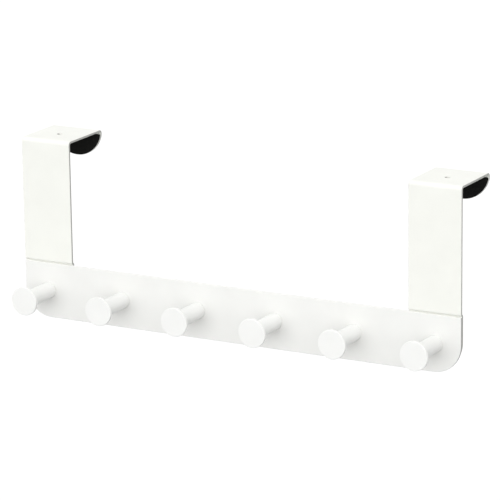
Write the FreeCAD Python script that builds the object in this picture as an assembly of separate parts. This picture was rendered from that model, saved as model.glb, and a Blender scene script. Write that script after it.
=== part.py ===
import FreeCAD, Part
import math
import os

# Over door hook: a sheet steel rail with six turned knobs, hung from the top of a door by
# two bent straps. Each strap runs down behind the rail, where it is joggled back by the
# rail's thickness, so that the fronts of strap and rail are flush. At the top it bends over
# the door and ends in a half-round lip with a soft pad against the door's far face. Each
# knob is held by a screw from behind, and the two end screws also clamp strap and rail.
#
# Frame, in millimetres: X runs along the rail, Y points from the room into the door, Z is up.
# The origin is midway between the holes in the two tabs, at the height of the door's top.

# Rail
rail_length = 350.0
rail_height = 41.0
rail_sheet = 1.5
rail_corner_radius = 21.0
rail_edge_round = 0.4       # around its front face

# Straps
strap_width = 40.0
strap_sheet = 1.5
strap_drop = 131.5          # from the door's top down to the rail's lower edge
bend_radius = 1.5           # inside radius of the two bends over the door
joggle_run = 1.2            # height between the corners of the step back behind the rail
joggle_radius = 0.3         # inside radius of the two bends of that step
joggle_clearance = 0.1      # from the rail's upper edge to where the first bend begins
tail_margin = 1.5           # the strap stops this far above the rail's lower edge
lip_drop = 19.0             # from the door's top down to the lowest point of the lip
lip_shoulder_radius = 10.0  # where the lip's half-round end runs into the strap's sides
strap_edge_round = 0.4      # along both sides and the lip, on the strap's outer face

# Door
door_gap = 40.0             # free space between the strap's tail and the pad

# Pads
pad_thickness = 1.5
pad_margin = 0.2            # the lip's metal shows this much around the pad
pad_top_clearance = 0.3     # from the end of the bend to the pad's upper edge
pad_edge_round = 0.4        # around the pad, but not along its upper edge

# Hole in each tab
tab_hole_diameter = 4.0
tab_hole_from_front = 20.0

# Knobs
knob_count = 6
knob_end_distance = 19.6    # from the rail's end to the first knob's axis
knob_projection = 34.4
knob_head_diameter = 21.0
knob_head_thickness = 2.4
knob_front_round = 0.5
knob_back_chamfer = 0.3
knob_neck_diameter = 12.0
knob_neck_fillet = 1.0      # where the neck runs into the back of the head
knob_base_chamfer = 0.3     # where the neck meets the rail

# Screws that hold the knobs from behind
screw_diameter = 4.0
screw_engagement = 9.0
screw_tip_chamfer = 0.6
thread_clearance = 0.05     # radial, between the screw and the knob's tapped hole
bore_extra_depth = 2.0      # the tapped hole runs this far past the screw's tip
bore_cone_height = 1.0      # the drill's point at the bottom of the tapped hole
screw_hole_clearance = 0.25 # radial, in the sheet
pan_head_diameter = 8.0
pan_head_height = 1.6
pan_head_chamfer = 0.6
countersink_floor = 0.15    # sheet left straight below the countersink
flat_head_clearance = 0.1   # radial, between the flat head and its seat
recess_width = 0.9
recess_length = 3.8
recess_depth = 0.9

# Worked out from the sizes above
rail_front = -tab_hole_from_front
rail_back = rail_front + rail_sheet
tail_back = rail_back + strap_sheet
rail_bottom = -strap_drop
rail_top = rail_bottom + rail_height
tail_bottom = rail_bottom + tail_margin
knob_height = rail_bottom + rail_height / 2
pad_front = tail_back + door_gap
lip_front = pad_front + pad_thickness
bend_end = -bend_radius
lip_round_height = min(lip_drop - bend_radius, strap_width / 2)
lip_round_top = lip_round_height - lip_drop
strap_centres = [-(rail_length - strap_width) / 2, (rail_length - strap_width) / 2]
knob_pitch = (rail_length - 2 * knob_end_distance) / (knob_count - 1)
knob_places = [knob_end_distance - rail_length / 2 + n * knob_pitch for n in range(knob_count)]
screw_hole_radius = screw_diameter / 2 + screw_hole_clearance
countersink_depth = strap_sheet - countersink_floor
countersink_radius = screw_hole_radius + countersink_depth
flat_head_radius = countersink_radius - flat_head_clearance

LARGEST_ROUND = 0.45        # a rounded edge takes at most this share of the sheet
OVERCUT = 1.0               # cuts run this far past the faces that they open
TOUCHING = 1e-6             # points closer than this are one point
IN_PLANE = 1e-3             # an edge this close to a plane lies in it
FULL_TURN = 360
X_AXIS = FreeCAD.Vector(1, 0, 0)
Y_AXIS = FreeCAD.Vector(0, 1, 0)
Z_AXIS = FreeCAD.Vector(0, 0, 1)


def point(x, y, z):
    return FreeCAD.Vector(x, y, z)


def add_line(edges, start, end):
    """Add the straight edge between two points, unless they are one point."""
    if start.distanceToPoint(end) > TOUCHING:
        edges.append(Part.makeLine(start, end))


def rounded_face(corners, radii):
    """A flat face through the corners, each rounded to its own radius. None is sharp."""
    starts, finishes, arcs = [], [], []
    for n, corner in enumerate(corners):
        before = corners[n - 1] - corner
        after = corners[(n + 1) % len(corners)] - corner
        half_angle = before.getAngle(after) / 2
        before.normalize()
        after.normalize()
        if radii[n] is None:
            starts.append(corner)
            finishes.append(corner)
            arcs.append(None)
            continue
        reach = radii[n] / math.tan(half_angle)
        starts.append(corner + before * reach)
        finishes.append(corner + after * reach)
        inward = before + after
        inward.normalize()
        middle = corner + inward * (radii[n] / math.sin(half_angle) - radii[n])
        arcs.append(Part.Arc(starts[n], middle, finishes[n]).toShape())
    edges = []
    for n, arc in enumerate(arcs):
        if arc is not None:
            edges.append(arc)
        add_line(edges, finishes[n], starts[(n + 1) % len(corners)])
    return Part.Face(Part.Wire(edges))


def bent_strip(route, radii, sheet, left, width):
    """A strip of bent sheet along X. Its middle line runs through the points of the route,
    and each bend between two runs has its own inside radius."""
    runs = []
    for here, there in zip(route, route[1:]):
        run = there - here
        run.normalize()
        runs.append(run)
    sides = {1: [], -1: []}
    for n, place in enumerate(route):
        arriving = runs[max(n - 1, 0)]
        leaving = runs[min(n, len(runs) - 1)]
        half_turn = arriving.getAngle(leaving) / 2
        along = arriving + leaving
        along.normalize()
        across = point(0, -along.z, along.y) * (sheet / 2 / math.cos(half_turn))
        inner_side = 1 if arriving.y * leaving.z > arriving.z * leaving.y else -1
        for side, outline in sides.items():
            is_end = n in (0, len(route) - 1)
            radius = None if is_end else radii[n - 1] + (0 if side == inner_side else sheet)
            outline.append((place + across * side, radius))
    outline = sides[1] + sides[-1][::-1]
    face = rounded_face([corner for corner, _ in outline], [radius for _, radius in outline])
    strip = face.extrude(X_AXIS * width)
    strip.translate(X_AXIS * left)
    return strip


def hanging_plate(left, right, bottom, top, front, depth):
    """An upright plate along Y. Corners at the rail's two ends are rounded as the rail is."""
    corners = [point(left, front, bottom), point(right, front, bottom),
               point(right, front, top), point(left, front, top)]
    at_left_end = left <= -rail_length / 2 + TOUCHING
    at_right_end = right >= rail_length / 2 - TOUCHING
    radii = [rail_corner_radius if at_left_end else None,
             rail_corner_radius if at_right_end else None, None, None]
    return rounded_face(corners, radii).extrude(Y_AXIS * depth)


def lip_plate(centre_x, inset, front, depth):
    """The lip as a plate along Y, from the end of the bend down, smaller by the inset.

    A shoulder arc leads from each side into one wide arc across the end, with no corner
    between them.
    """
    half_width = strap_width / 2
    shoulder = lip_shoulder_radius
    radius = ((half_width ** 2 + lip_round_height ** 2 - 2 * half_width * shoulder)
              / (2 * (lip_round_height - shoulder)))
    centre = point(centre_x, front, radius - lip_drop)
    steepness = math.asin((centre.z - lip_round_top) / (radius - shoulder))
    edges, uppers, lowers = [], [], []
    for side in (-1, 1):
        shoulder_centre = point(centre_x + side * (half_width - shoulder), front, lip_round_top)
        arc = []
        for angle in (0, steepness / 2, steepness):
            direction = point(side * math.cos(angle), 0, -math.sin(angle))
            arc.append(shoulder_centre + direction * (shoulder - inset))
        if arc[0].distanceToPoint(arc[-1]) > TOUCHING:
            edges.append(Part.Arc(*arc).toShape())
        uppers.append(point(arc[0].x, front, bend_end))
        lowers.append(arc[-1])
        add_line(edges, uppers[-1], arc[0])
    lowest = centre - Z_AXIS * (radius - inset)
    edges.append(Part.Arc(lowers[0], lowest, lowers[1]).toShape())
    edges.append(Part.makeLine(*uppers))
    return Part.Face(Part.Wire(Part.__sortEdges__(edges))).extrude(Y_AXIS * depth)


def turned(outline, centre):
    """A solid turned about a line along Y. Its outline is given by radius, depth and round."""
    corners = [point(radius, depth, 0) for radius, depth, _ in outline]
    face = rounded_face(corners, [rounding for _, _, rounding in outline])
    solid = face.revolve(point(0, 0, 0), Y_AXIS, FULL_TURN)
    solid.translate(centre)
    return solid


def edges_within(shape, x=None, y=None):
    """The edges that lie wholly at one value of X, at one value of Y, or at both."""
    found = []
    for edge in shape.Edges:
        box = edge.BoundBox
        off_x = 0 if x is None else max(abs(box.XMin - x), abs(box.XMax - x))
        off_y = 0 if y is None else max(abs(box.YMin - y), abs(box.YMax - y))
        if max(off_x, off_y) < IN_PLANE:
            found.append(edge)
    return found


def make_rail():
    rail = hanging_plate(-rail_length / 2, rail_length / 2, rail_bottom, rail_top,
                         rail_front, rail_sheet)
    rounding = min(rail_edge_round, LARGEST_ROUND * rail_sheet)
    rail = rail.makeFillet(rounding, edges_within(rail, y=rail_front))
    for x in knob_places:
        start = point(x, rail_front - OVERCUT, knob_height)
        length = rail_sheet + 2 * OVERCUT
        rail = rail.cut(Part.makeCylinder(screw_hole_radius, length, start, Y_AXIS))
    return rail


def make_strap(centre_x, knob_x):
    leg = rail_front + strap_sheet / 2
    tail = tail_back - strap_sheet / 2
    tab = strap_sheet / 2
    lip = lip_front + strap_sheet / 2
    step_angle = math.atan2(tail - leg, joggle_run)
    bend_reach = (joggle_radius + strap_sheet / 2) * math.tan(step_angle / 2)
    step_bottom = rail_top + joggle_clearance + bend_reach
    route = [point(0, tail, rail_top),
             point(0, tail, step_bottom),
             point(0, leg, step_bottom + joggle_run),
             point(0, leg, tab),
             point(0, lip, tab),
             point(0, lip, bend_end)]
    radii = [joggle_radius, joggle_radius, bend_radius, bend_radius]
    left = centre_x - strap_width / 2
    right = centre_x + strap_width / 2
    strip = bent_strip(route, radii, strap_sheet, left, strap_width)
    tail_end = hanging_plate(left, right, tail_bottom, rail_top, rail_back, strap_sheet)
    lip_end = lip_plate(centre_x, 0, lip_front, strap_sheet)
    strap = strip.fuse([tail_end, lip_end]).removeSplitter()

    # Each upright edge of the leg runs on without a corner, down the tail and over the lip.
    leg_edges = edges_within(strap, left, rail_front) + edges_within(strap, right, rail_front)
    strap = strap.makeFillet(min(strap_edge_round, LARGEST_ROUND * strap_sheet), leg_edges)

    below = point(centre_x, 0, -OVERCUT)
    hole_length = strap_sheet + 2 * OVERCUT
    strap = strap.cut(Part.makeCylinder(tab_hole_diameter / 2, hole_length, below, Z_AXIS))
    return strap.cut(flat_head_seat(knob_x))


def flat_head_seat(x):
    """The countersunk hole for a flat-headed screw through the strap's tail."""
    start = point(x, tail_back + OVERCUT, knob_height)
    cone = Part.makeCone(countersink_radius + OVERCUT, screw_hole_radius,
                         countersink_depth + OVERCUT, start, -Y_AXIS)
    length = strap_sheet + 2 * OVERCUT
    return cone.fuse(Part.makeCylinder(screw_hole_radius, length, start, -Y_AXIS))


def make_pad(centre_x):
    """The pad on the lip, rounded on its free face and then cut straight below the bend."""
    pad = lip_plate(centre_x, pad_margin, pad_front, pad_thickness)
    below_sides = lip_round_top - TOUCHING
    rim = [edge for edge in edges_within(pad, y=pad_front)
           if edge.BoundBox.Center.z < below_sides]
    pad = pad.makeFillet(pad_edge_round, rim)
    top = bend_end - pad_top_clearance
    corner = point(centre_x - strap_width / 2, pad_front - OVERCUT, top)
    length = pad_thickness + 2 * OVERCUT
    return pad.cut(Part.makeBox(strap_width, length, -top, corner))


def make_knob(x):
    head = knob_head_diameter / 2
    neck = knob_neck_diameter / 2
    bore = screw_diameter / 2 + thread_clearance
    front = -knob_projection
    head_back = front + knob_head_thickness
    bore_end = -screw_engagement - bore_extra_depth
    fillet = min(knob_neck_fillet, (head - neck) / 2)
    outline = [(0, front, None),
               (head, front, knob_front_round),
               (head, head_back - knob_back_chamfer, None),
               (head - knob_back_chamfer, head_back, None),
               (neck, head_back, fillet),
               (neck, -knob_base_chamfer, None),
               (neck - knob_base_chamfer, 0, None),
               (bore, 0, None),
               (bore, bore_end, None),
               (0, bore_end - bore_cone_height, None)]
    return turned(outline, point(x, rail_front, knob_height))


def shank_outline(grip):
    """A screw's shank from its tip on the axis upwards. Its head starts at a depth of zero."""
    shank = screw_diameter / 2
    tip = -grip - screw_engagement
    return [(0, tip, None),
            (shank - screw_tip_chamfer, tip, None),
            (shank, tip + screw_tip_chamfer, None)]


def cross_recess(x, back):
    """Two crossed slots, cut forward into the back of a screw's head."""
    slots = []
    for length, height in ((recess_length, recess_width), (recess_width, recess_length)):
        corner = point(x - length / 2, back - recess_depth, knob_height - height / 2)
        slots.append(Part.makeBox(length, recess_depth + OVERCUT, height, corner))
    return slots[0].fuse(slots[1])


def make_pan_screw(x):
    """A low pan-headed screw, seated on the back of the rail."""
    shank = screw_diameter / 2
    head = pan_head_diameter / 2
    outline = shank_outline(rail_sheet) + [(shank, 0, None),
                                           (head, 0, None),
                                           (head, pan_head_height - pan_head_chamfer, None),
                                           (head - pan_head_chamfer, pan_head_height, None),
                                           (0, pan_head_height, None)]
    screw = turned(outline, point(x, rail_back, knob_height))
    return screw.cut(cross_recess(x, rail_back + pan_head_height))


def make_flat_screw(x):
    """A flat-headed screw, sunk flush into the strap's tail."""
    shank = screw_diameter / 2
    head = flat_head_radius
    outline = shank_outline(strap_sheet + rail_sheet) + [(shank, shank - head, None),
                                                         (head, 0, None),
                                                         (0, 0, None)]
    screw = turned(outline, point(x, tail_back, knob_height))
    return screw.cut(cross_recess(x, tail_back))


def build_parts():
    parts = {"rail": make_rail()}
    end_knobs = (knob_places[0], knob_places[-1])
    for side, centre_x, knob_x in zip(("left", "right"), strap_centres, end_knobs):
        parts["strap_" + side] = make_strap(centre_x, knob_x)
        parts["pad_" + side] = make_pad(centre_x)
    for n, x in enumerate(knob_places, start=1):
        parts[f"knob_{n}"] = make_knob(x)
        parts[f"screw_{n}"] = make_flat_screw(x) if x in end_knobs else make_pan_screw(x)
    return parts


def main():
    os.makedirs("parts", exist_ok=True)
    for name, shape in build_parts().items():
        if not shape.isValid() or len(shape.Solids) != 1:
            raise ValueError(f"{name} is not one sound solid")
        shape.exportStep(f"parts/{name}.step")
        box = shape.BoundBox
        print(f"{name}: {shape.Volume:.1f} mm3, X {box.XMin:.2f} to {box.XMax:.2f}, "
              f"Y {box.YMin:.2f} to {box.YMax:.2f}, Z {box.ZMin:.2f} to {box.ZMax:.2f}")


main()
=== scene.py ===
import math

import bmesh
import bpy
from mathutils import Matrix, Vector, noise
from mathutils.geometry import convex_hull_2d


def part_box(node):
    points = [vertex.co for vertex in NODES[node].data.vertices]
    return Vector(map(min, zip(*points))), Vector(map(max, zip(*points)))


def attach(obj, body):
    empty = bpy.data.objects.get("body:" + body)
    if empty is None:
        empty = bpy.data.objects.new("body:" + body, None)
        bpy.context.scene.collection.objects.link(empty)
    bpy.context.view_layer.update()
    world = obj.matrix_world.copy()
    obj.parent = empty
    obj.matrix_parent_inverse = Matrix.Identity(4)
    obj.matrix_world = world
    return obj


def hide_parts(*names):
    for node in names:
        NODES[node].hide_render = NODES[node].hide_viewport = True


# Looks of an over door hook, in metres with +Z up: white powder coat, black foam, bright zinc

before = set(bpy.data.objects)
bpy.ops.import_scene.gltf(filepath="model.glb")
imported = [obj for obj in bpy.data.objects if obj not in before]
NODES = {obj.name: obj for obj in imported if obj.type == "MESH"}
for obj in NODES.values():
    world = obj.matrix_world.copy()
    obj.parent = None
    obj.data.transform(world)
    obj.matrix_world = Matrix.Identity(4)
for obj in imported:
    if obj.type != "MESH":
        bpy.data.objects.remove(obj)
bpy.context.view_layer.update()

# Places read from the fixed model
RAIL_LOW, RAIL_HIGH = (Vector(corner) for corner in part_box("rail"))
KNOB_NAMES = sorted(name for name in NODES if name.startswith("knob_"))
STRAP_NAMES = sorted(name for name in NODES if name.startswith("strap_"))
SCREW_NAMES = sorted(name for name in NODES if name.startswith("screw_"))
PAD_NAMES = sorted(name for name in NODES if name.startswith("pad_"))
FLAT_HEAD_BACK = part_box("screw_1")[1][1]
TOUCHING = 0.00001
MICROMETRE_DIGITS = 6

# The photograph's camera, fitted to the object's edges
PHOTO_PIXELS = 500
AZIMUTH = math.radians(28.663)
ELEVATION = math.radians(14.920)
ROLL = math.radians(-0.749)
FOCAL_PIXELS = 3180.2
DISTANCE = 2.2356
AIM_POINT = Vector((0, RAIL_LOW.y, -0.0635))
AIM_PIXEL = (234.93, 250.88)
SENSOR_WIDTH = 36
NEAREST_SEEN = 0.05
FARTHEST_SEEN = 50

# Stage
WHITE = (1, 1, 1, 1)
FLOOR_DROP = 0.22
FLOOR_SIZE = 14
FLOOR_COLOUR = (0.39, 0.39, 0.39, 1)
FLOOR_ROUGHNESS = 0.9
FLOOR_GLOW = 0.60

# The room's light, which fades as its direction's X goes through ROOM_FADE
ROOM_BRIGHTNESS = 0.98
ROOM_DIMMED = 0.60
ROOM_FADE = (0.3, 0.9)
BACKDROP_BRIGHTNESS = 1.0

# Lamps: name, direction, angle that it fills, how bright it makes a white face
LAMPS = [
    ("front", Vector((0.10, -1.00, 0.05)), math.radians(40), 0.345),
    ("high", Vector((0.54, -0.58, 0.60)), math.radians(60), 0.23),
]

# The values that most of the noise lies between
NOISE_RANGE = (0.3, 0.7)

# Powder coat, with each bump as its depth and its strength
STRAP_WHITE = (0.885, 0.892, 0.842)
RAIL_WHITE = (0.863, 0.866, 0.843)
KNOB_WHITE = (0.896, 0.900, 0.882)
COAT_CLOUD_SHADE = 0.972
COAT_CLOUD_SCALE = 55
SHEET_PEEL_SCALE = 900
KNOB_PEEL_SCALE = 1300
GRAIN_FINENESS = 5
SHEET_ROUGHNESS = (0.38, 0.47)
KNOB_ROUGHNESS = (0.32, 0.41)
PEEL_BUMP = (0.00005, 0.35)
GRAIN_BUMP = (0.00001, 0.3)
COAT_SPECULAR = 0.45
# Painted shade on faces turned sideways: the share of colour left on them, and the span of
# sideways facing over which the darkening sets in
PAINTED_SIDE_SHADE = 0.46
PAINTED_SHADE_FACING = (0.4, 0.85)

# Zinc plate
ZINC_DULL = (0.56, 0.57, 0.58)
ZINC_BRIGHT = (0.70, 0.70, 0.69)
ZINC_CLOUD_SCALE = 400
ZINC_GRAIN_SCALE = 2600
ZINC_ROUGHNESS = (0.26, 0.4)
ZINC_BUMP = (0.00001, 0.4)

# Foam rubber
FOAM_DARK = (0.0025, 0.0025, 0.0022)
FOAM_PALE = (0.0055, 0.0055, 0.0050)
FOAM_CLOUD_SCALE = 180
FOAM_CELL_SCALE = 2400
FOAM_ROUGHNESS = (0.82, 0.95)
FOAM_CLOUD_BUMP = (0.0001, 0.4)
FOAM_CELL_BUMP = (0.00012, 0.6)
FOAM_SPECULAR = 0.18

# Foam pads
PAD_OUTLINE_POINTS = 180
PAD_CORNER_SMOOTHING = 3
PAD_WAVER = 0.00005
PAD_WAVER_SCALE = 420
# The rim's steps: distance in from the outline, share of the thickness
PAD_RIM = [(0.00030, 0.00), (0.00008, 0.14), (0.00000, 0.34), (0.00002, 0.56), (0.00012, 0.74),
           (0.00030, 0.86), (0.00058, 0.925), (0.00100, 0.955)]
# The crown's steps: share of the way in, share of the thickness
PAD_CROWN = [(0.20, 0.968), (0.36, 0.982), (0.55, 0.993), (0.75, 0.998), (0.92, 1.0)]

# Machine screws
SCREW_SIDES = 40
SCREW_TURN = math.radians(37)
CREASE = math.radians(32)
QUARTER_TURN = math.radians(90)
HEAD_ROUND = 0.0006
HEAD_ROUND_STEPS = 6
HEAD_DOME = 0.00025
HEAD_BACK_RINGS = 5
PAN_SEAT_CHAMFER = 0.00012
FLAT_HEAD_RIM = 0.0001
SHANK_RADIUS = 0.002
TIP_CHAMFER = 0.0006
THREAD_PITCH = 0.0007
THREAD_DEPTH = 0.0004
THREAD_FLAT = 1 / 12
THREAD_ROWS_PER_TURN = 8
THREAD_RUN_OUT = 0.0008
RECESS_WIDTH = 0.00088
RECESS_REACH = 0.0019
RECESS_DEPTH = 0.0011
RECESS_TAPER = 0.55
RECESS_LEAD = 0.0006


def clamp(value, low=0, high=1):
    return min(max(value, low), high)


def add_camera():
    """A camera that sees AIM_POINT at AIM_PIXEL, from the photograph's side."""
    back = Vector((math.sin(AZIMUTH) * math.cos(ELEVATION),
                   -math.cos(AZIMUTH) * math.cos(ELEVATION),
                   math.sin(ELEVATION)))
    level_right = Vector((math.cos(AZIMUTH), math.sin(AZIMUTH), 0))
    level_up = back.cross(level_right)
    right = level_right * math.cos(ROLL) + level_up * math.sin(ROLL)
    up = level_up * math.cos(ROLL) - level_right * math.sin(ROLL)
    aside = (AIM_PIXEL[0] - PHOTO_PIXELS / 2) / FOCAL_PIXELS * DISTANCE
    down = (AIM_PIXEL[1] - PHOTO_PIXELS / 2) / FOCAL_PIXELS * DISTANCE
    place = AIM_POINT + back * DISTANCE - right * aside + up * down
    data = bpy.data.cameras.new("photo_camera")
    data.sensor_fit = "HORIZONTAL"
    data.sensor_width = SENSOR_WIDTH
    data.lens = FOCAL_PIXELS / PHOTO_PIXELS * SENSOR_WIDTH
    data.clip_start = NEAREST_SEEN
    data.clip_end = FARTHEST_SEEN
    camera = bpy.data.objects.new("photo_camera", data)
    bpy.context.scene.collection.objects.link(camera)
    turn = Matrix((right, up, back)).transposed().to_4x4()
    camera.matrix_world = Matrix.Translation(place) @ turn
    bpy.context.scene.camera = camera


class Nodes:
    """The nodes of a material or a world, built one at a time."""

    def __init__(self, owner):
        owner.use_nodes = True
        self.tree = owner.node_tree

    def join(self, socket, value):
        """Link an input to another node's output, or set it to a constant."""
        if isinstance(value, bpy.types.NodeSocket):
            self.tree.links.new(value, socket)
        else:
            socket.default_value = value

    def feed(self, node, **inputs):
        """Join a node's inputs, which are named with underscores for their spaces."""
        for name, value in inputs.items():
            self.join(node.inputs[name.replace("_", " ")], value)

    def add(self, kind, **inputs):
        node = self.tree.nodes.new(kind)
        self.feed(node, **inputs)
        return node

    def math(self, operation, *values):
        node = self.add("ShaderNodeMath")
        node.operation = operation
        for socket, value in zip(node.inputs, values):
            self.join(socket, value)
        return node.outputs["Value"]

    def spread(self, value, source, target):
        """The value carried from one range into another, and held at its ends."""
        node = self.add("ShaderNodeMapRange", Value=value, From_Min=source[0],
                        From_Max=source[1], To_Min=target[0], To_Max=target[1])
        return node.outputs["Result"]


class Surface(Nodes):
    """A material with one surface shader."""

    def __init__(self, name):
        self.material = bpy.data.materials.new(name)
        super().__init__(self.material)
        self.shader = self.tree.nodes["Principled BSDF"]
        own = self.add("ShaderNodeTexCoord")
        self.place, self.facing = own.outputs["Object"], own.outputs["Normal"]

    def noise(self, scale, detail):
        node = self.add("ShaderNodeTexNoise", Vector=self.place, Scale=scale, Detail=detail)
        return node.outputs["Fac"]

    def ramp(self, value, low, high):
        """A smooth change from one colour to another as the noise rises."""
        node = self.add("ShaderNodeValToRGB", Fac=value)
        for stop, position, colour in zip(node.color_ramp.elements, NOISE_RANGE, (low, high)):
            stop.position = position
            stop.color = (*colour, 1)
        return node.outputs["Color"]

    def scaled(self, colour, factor):
        node = self.add("ShaderNodeVectorMath")
        node.operation = "SCALE"
        self.feed(node, Vector=colour, Scale=factor)
        return node.outputs["Vector"]

    def bump(self, height, depth, strength, under=None):
        """The surface's direction, made uneven, on top of a coarser bump where one is given."""
        node = self.add("ShaderNodeBump", Height=height, Distance=depth, Strength=strength)
        if under is not None:
            self.feed(node, Normal=under)
        return node.outputs["Normal"]

    def painted_side_shade(self, and_below):
        """Painted shade: a colour factor that darkens faces turned to left and right, and maybe
        those turned down.
        """
        facing = self.add("ShaderNodeSeparateXYZ", Vector=self.facing).outputs
        # How squarely the face turns to a side, which sets how much painted shade it gets
        cut = self.math("ABSOLUTE", facing["X"])
        if and_below:
            down = self.math("MAXIMUM", self.math("MULTIPLY", facing["Z"], -1), 0)
            square = self.math("MULTIPLY", cut, cut)
            cut = self.math("SQRT", self.math("MULTIPLY_ADD", down, down, square))
        return self.spread(cut, PAINTED_SHADE_FACING, (1, PAINTED_SIDE_SHADE))


def powder_coat(name, white, peel_scale, roughness, has_painted_side_shade, painted_shade_below=False):
    """Satin white powder coat: fine orange peel, with slight clouds in colour and gloss.

    Where asked, faces turned to the sides get painted shade, which darkens a sheet's cut sides.
    """
    coat = Surface(name)
    clouds = coat.noise(COAT_CLOUD_SCALE, detail=3)
    peel = coat.noise(peel_scale, detail=2)
    grain = coat.noise(peel_scale * GRAIN_FINENESS, detail=1)
    shade = tuple(part * COAT_CLOUD_SHADE for part in white)
    colour = coat.ramp(clouds, shade, white)
    # Painted shade on the faces turned sideways, and maybe on those turned down
    if has_painted_side_shade:
        colour = coat.scaled(colour, coat.painted_side_shade(painted_shade_below))
    uneven = coat.bump(grain, *GRAIN_BUMP, under=coat.bump(peel, *PEEL_BUMP))
    coat.feed(coat.shader, Base_Color=colour, Normal=uneven, Specular_IOR_Level=COAT_SPECULAR,
              Roughness=coat.spread(peel, NOISE_RANGE, roughness))
    return coat.material


def zinc_plate(name):
    zinc = Surface(name)
    clouds = zinc.noise(ZINC_CLOUD_SCALE, detail=3)
    grain = zinc.noise(ZINC_GRAIN_SCALE, detail=2)
    zinc.feed(zinc.shader, Base_Color=zinc.ramp(clouds, ZINC_DULL, ZINC_BRIGHT), Metallic=1,
              Roughness=zinc.spread(clouds, NOISE_RANGE, ZINC_ROUGHNESS),
              Normal=zinc.bump(grain, *ZINC_BUMP))
    return zinc.material


def foam_rubber(name):
    foam = Surface(name)
    clouds = foam.noise(FOAM_CLOUD_SCALE, detail=3)
    cells = foam.add("ShaderNodeTexVoronoi", Vector=foam.place, Scale=FOAM_CELL_SCALE)
    uneven = foam.bump(cells.outputs["Distance"], *FOAM_CELL_BUMP,
                       under=foam.bump(clouds, *FOAM_CLOUD_BUMP))
    foam.feed(foam.shader, Base_Color=foam.ramp(clouds, FOAM_DARK, FOAM_PALE), Normal=uneven,
              Roughness=foam.spread(clouds, NOISE_RANGE, FOAM_ROUGHNESS),
              Specular_IOR_Level=FOAM_SPECULAR)
    return foam.material


def dress(node_name, material):
    """Give a fixed node one material in place of its own."""
    mesh = NODES[node_name].data
    mesh.materials.clear()
    mesh.materials.append(material)


def new_piece(name, mesh, node_name, material):
    """A new piece that takes the place of a fixed node."""
    mesh.materials.append(material)
    piece = bpy.data.objects.new(name, mesh)
    bpy.context.scene.collection.objects.link(piece)
    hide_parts(node_name)
    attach(piece, "root")
    return piece


def shell(rings, tips=None):
    """A closed mesh over rings of points. Each end is one face, or a fan round its tip."""
    mesh = bmesh.new()
    rings = [[mesh.verts.new(spot) for spot in ring] for ring in rings]
    for lower, upper in zip(rings, rings[1:]):
        for n in range(len(lower)):
            mesh.faces.new((lower[n - 1], lower[n], upper[n], upper[n - 1]))
    ends = (rings[0], rings[-1])
    if tips is None:
        for ring in ends:
            mesh.faces.new(ring)
    else:
        for ring, tip in zip(ends, tips):
            centre = mesh.verts.new(tip)
            for n in range(len(ring)):
                mesh.faces.new((ring[n - 1], ring[n], centre))
    bmesh.ops.recalc_face_normals(mesh, faces=mesh.faces)
    return mesh


def stored(mesh, name):
    """The mesh as data that an object can hold, freed from where it was built."""
    data = bpy.data.meshes.new(name)
    mesh.to_mesh(data)
    mesh.free()
    return data


def smooth(data):
    for face in data.polygons:
        face.use_smooth = True


def even_outline(corners, count):
    """Points at even steps round a closed outline."""
    lengths = [(corners[n] - corners[n - 1]).length for n in range(len(corners))]
    step = sum(lengths) / count
    points, ahead = [], 0.0
    for n, length in enumerate(lengths):
        start, end = corners[n - 1], corners[n]
        while ahead < length:
            points.append(start.lerp(end, ahead / length))
            ahead += step
        ahead -= length
    return points[:count]


def pad_outline(node_name):
    """The fixed pad's outline seen along Y, with its two sharp corners a little rounded."""
    seen = {(round(v.co.x, MICROMETRE_DIGITS), round(v.co.z, MICROMETRE_DIGITS))
            for v in NODES[node_name].data.vertices}
    spots = sorted(seen)
    ring = [Vector(spots[index]) for index in convex_hull_2d(spots)]
    points = even_outline(ring, PAD_OUTLINE_POINTS)
    for _ in range(PAD_CORNER_SMOOTHING):
        points = [(points[n - 1] + 2 * points[n] + points[(n + 1) % len(points)]) / 4
                  for n in range(len(points))]
    return points


def add_foam_pad(name, node_name, material):
    """A die-cut foam pad: flat where it is glued to the lip, crowned, with soft rims."""
    low, high = (Vector(corner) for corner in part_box(node_name))
    thickness = high.y - low.y
    half_height = (high.z - low.z) / 2
    middle = Vector(((low.x + high.x) / 2, (low.z + high.z) / 2))
    reach = (high.x - low.x) / 2 - half_height
    outline = pad_outline(node_name)

    def ring(level, inset=0, share=0):
        """The outline drawn in by a distance, or by a share of the way to the middle line."""
        spots = []
        for point in outline:
            core_x = clamp(point.x, middle.x - reach, middle.x + reach)
            way_in = Vector((core_x, middle.y)) - point
            inward = way_in.normalized()
            spot = point + inward * inset + way_in * share
            waver = noise.noise(Vector((spot.x, level, spot.y)) * PAD_WAVER_SCALE)
            spot += inward * PAD_WAVER * waver
            spots.append((spot.x, high.y - thickness * level, spot.y))
        return spots

    rings = [ring(level, inset=inset + PAD_WAVER) for inset, level in PAD_RIM]
    rings += [ring(level, share=share) for share, level in PAD_CROWN]
    data = stored(shell(rings), name)
    smooth(data)
    pad = new_piece(name, data, node_name, material)


def thread_radius(along, turn):
    """The thread's radius at a height above the tip and a part of a turn."""
    phase = (along / THREAD_PITCH - turn) % 1
    rise = clamp((abs(phase - 0.5) - THREAD_FLAT / 2) / (0.5 - THREAD_FLAT))
    return SHANK_RADIUS - THREAD_DEPTH * (1 - rise)


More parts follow.
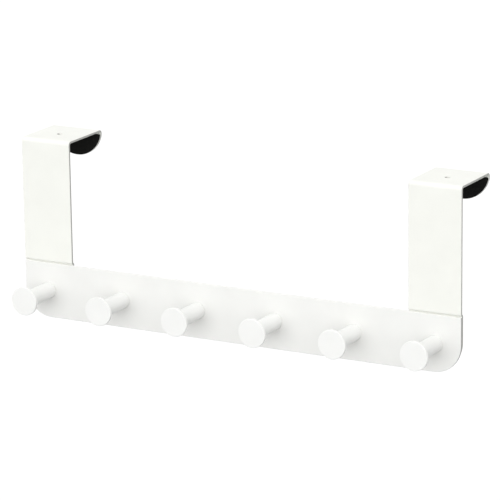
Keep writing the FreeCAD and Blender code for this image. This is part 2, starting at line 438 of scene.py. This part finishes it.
def shank_rows(length):
    """Rows of (height above the tip, radii round the axis) for a threaded shank."""
    first = TIP_CHAMFER / 2
    count = round((length - TIP_CHAMFER) / THREAD_PITCH * THREAD_ROWS_PER_TURN)
    plain_radius = SHANK_RADIUS - THREAD_DEPTH / 2
    rows = [(0, [SHANK_RADIUS - TIP_CHAMFER] * SCREW_SIDES)]
    for n in range(count + 1):
        along = first + (length - first) * n / count
        limit = SHANK_RADIUS - max(TIP_CHAMFER - along, 0)
        plain = clamp((along - length + THREAD_RUN_OUT) / THREAD_RUN_OUT)
        radii = []
        for side in range(SCREW_SIDES):
            cut = thread_radius(along, side / SCREW_SIDES)
            radii.append(min(cut + (plain_radius - cut) * plain, limit))
        rows.append((along, radii))
    return rows


def pan_head_rows(seat, radius, height):
    """A low head with a rounded rim and a slightly domed back."""
    rows = [(seat, radius - PAN_SEAT_CHAMFER), (seat + PAN_SEAT_CHAMFER, radius)]
    rim = seat + height - HEAD_DOME - HEAD_ROUND
    for step in range(HEAD_ROUND_STEPS + 1):
        angle = QUARTER_TURN * step / HEAD_ROUND_STEPS
        rows.append((rim + HEAD_ROUND * math.sin(angle),
                     radius - HEAD_ROUND * (1 - math.cos(angle))))
    flat = radius - HEAD_ROUND
    for step in range(1, HEAD_BACK_RINGS):
        share = 1 - step / HEAD_BACK_RINGS
        rows.append((seat + height - HEAD_DOME * share ** 2, flat * share))
    return rows, seat + height


def flat_head_rows(seat, radius):
    """A countersunk head: a cone up to a thin rim, and a flat back."""
    height = radius - SHANK_RADIUS
    flat = radius - FLAT_HEAD_RIM
    rows = [(seat, SHANK_RADIUS), (seat + height - FLAT_HEAD_RIM, radius - FLAT_HEAD_RIM / 2),
            (seat + height - FLAT_HEAD_RIM / 2, radius), (seat + height, flat)]
    for step in range(1, HEAD_BACK_RINGS):
        rows.append((seat + height, flat * (1 - step / HEAD_BACK_RINGS)))
    return rows, seat + height


def turned_mesh(rows, tip, top):
    """A closed mesh from rows of radii round the Y axis."""
    rings = []
    for along, radii in rows:
        angles = [2 * math.pi * side / SCREW_SIDES for side in range(SCREW_SIDES)]
        rings.append([(radius * math.cos(angle), tip + along, radius * math.sin(angle))
                      for radius, angle in zip(radii, angles)])
    return shell(rings, tips=((0, tip, 0), (0, tip + top, 0)))


def recess_cutter(back):
    """A tapered cross that narrows towards its bottom."""
    half = RECESS_WIDTH / 2
    outline = []
    for quarter in range(4):
        turn = Matrix.Rotation(QUARTER_TURN * quarter, 2)
        for spot in ((half, half), (RECESS_REACH, half), (RECESS_REACH, -half)):
            outline.append(turn @ Vector(spot))
    outline.sort(key=lambda spot: math.atan2(spot.y, spot.x))
    slope = (1 - RECESS_TAPER) / RECESS_DEPTH
    rings = []
    for depth in (-RECESS_LEAD, 0, RECESS_DEPTH):
        scale = 1 - slope * depth
        rings.append([(spot.x * scale, back - depth, spot.y * scale) for spot in outline])
    return shell(rings)


def cut_away(body, cutter, name):
    """The mesh of the body with the cutter's space taken out of it."""
    holders = []
    for part in (body, cutter):
        holder = bpy.data.objects.new(name, stored(part, name))
        bpy.context.scene.collection.objects.link(holder)
        holders.append(holder)
    cut = holders[0].modifiers.new("recess", "BOOLEAN")
    cut.operation = "DIFFERENCE"
    cut.solver = "EXACT"
    cut.object = holders[1]
    ready = holders[0].evaluated_get(bpy.context.evaluated_depsgraph_get())
    result = bpy.data.meshes.new_from_object(ready)
    for holder in holders:
        bpy.data.objects.remove(holder)
    return result


def add_machine_screw(name, node_name, turn, material):
    """A threaded screw with a cross recess, where the fixed model has its plain one."""
    low, high = (Vector(corner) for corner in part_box(node_name))
    radius = (high.x - low.x) / 2
    is_pan = high.y > FLAT_HEAD_BACK + TOUCHING
    if is_pan:
        seat = RAIL_HIGH.y - low.y
        head, top = pan_head_rows(seat, radius, high.y - RAIL_HIGH.y)
    else:
        seat = high.y - low.y - (radius - SHANK_RADIUS)
        head, top = flat_head_rows(seat, radius)
    rows = shank_rows(seat) + [(along, [ring] * SCREW_SIDES) for along, ring in head]
    body = turned_mesh(rows, low.y, top)
    data = cut_away(body, recess_cutter(high.y), name)
    centre = Vector(((low.x + high.x) / 2, 0, (low.z + high.z) / 2))
    data.transform(Matrix.Translation(centre) @ Matrix.Rotation(turn, 4, "Y"))
    smooth(data)
    data.set_sharp_from_angle(angle=CREASE)
    new_piece(name, data, node_name, material)


def add_floor():
    """A grey floor well below the part, with a glow that only the camera and gloss see.

    It looks white to them, and still takes the part's soft shadow.
    """
    height = RAIL_LOW.z - FLOOR_DROP
    half = FLOOR_SIZE / 2
    mesh = bpy.data.meshes.new("floor")
    corners = [(-half, -half, height), (half, -half, height), (half, half, height),
               (-half, half, height)]
    mesh.from_pydata(corners, [], [(0, 1, 2, 3)])
    floor = bpy.data.objects.new("floor", mesh)
    bpy.context.scene.collection.objects.link(floor)
    paint = Surface("floor_paint")
    rays = paint.add("ShaderNodeLightPath").outputs
    seen = paint.math("MAXIMUM", rays["Is Camera Ray"], rays["Is Glossy Ray"])
    paint.feed(paint.shader, Base_Color=FLOOR_COLOUR, Roughness=FLOOR_ROUGHNESS,
               Emission_Color=WHITE, Emission_Strength=paint.math("MULTIPLY", seen, FLOOR_GLOW))
    mesh.materials.append(paint.material)


def add_lamp(name, direction, spread, strength):
    """A distant soft lamp that shines from the given direction."""
    data = bpy.data.lights.new(name, "SUN")
    data.angle = spread
    data.energy = strength * math.pi
    lamp = bpy.data.objects.new(name, data)
    lamp.matrix_world = direction.to_track_quat("Z", "Y").to_matrix().to_4x4()
    bpy.context.scene.collection.objects.link(lamp)


def add_world():
    """A white room that fades to a dimmer wall on the right, and a plain white backdrop."""
    world = bpy.data.worlds.new("studio")
    room = Nodes(world)
    direction = room.add("ShaderNodeTexCoord").outputs["Generated"]
    aside = room.add("ShaderNodeSeparateXYZ", Vector=direction).outputs["X"]
    light = room.spread(aside, ROOM_FADE, (ROOM_BRIGHTNESS, ROOM_DIMMED))
    is_camera = room.add("ShaderNodeLightPath").outputs["Is Camera Ray"]
    strength = room.spread(is_camera, (0, 1), (light, BACKDROP_BRIGHTNESS))
    room.feed(room.tree.nodes["Background"], Color=WHITE, Strength=strength)
    bpy.context.scene.world = world


# The rail and straps get painted shade on their sideways faces, and the rail also on its faces
# turned down
rail_white = powder_coat("rail_white", RAIL_WHITE, SHEET_PEEL_SCALE, SHEET_ROUGHNESS,
                         has_painted_side_shade=True, painted_shade_below=True)
strap_white = powder_coat("strap_white", STRAP_WHITE, SHEET_PEEL_SCALE, SHEET_ROUGHNESS,
                          has_painted_side_shade=True)
knob_white = powder_coat("knob_white", KNOB_WHITE, KNOB_PEEL_SCALE, KNOB_ROUGHNESS,
                         has_painted_side_shade=False)
zinc = zinc_plate("zinc")
foam = foam_rubber("foam")

dress("rail", rail_white)
for name in STRAP_NAMES:
    dress(name, strap_white)
for name in KNOB_NAMES:
    dress(name, knob_white)
for name in PAD_NAMES:
    add_foam_pad(name.replace("pad", "foam_pad"), name, foam)
for count, name in enumerate(SCREW_NAMES):
    add_machine_screw("machine_" + name, name, SCREW_TURN * count, zinc)

add_floor()
add_world()
for lamp in LAMPS:
    add_lamp(*lamp)
add_camera()
bpy.context.scene.view_settings.view_transform = "Standard"
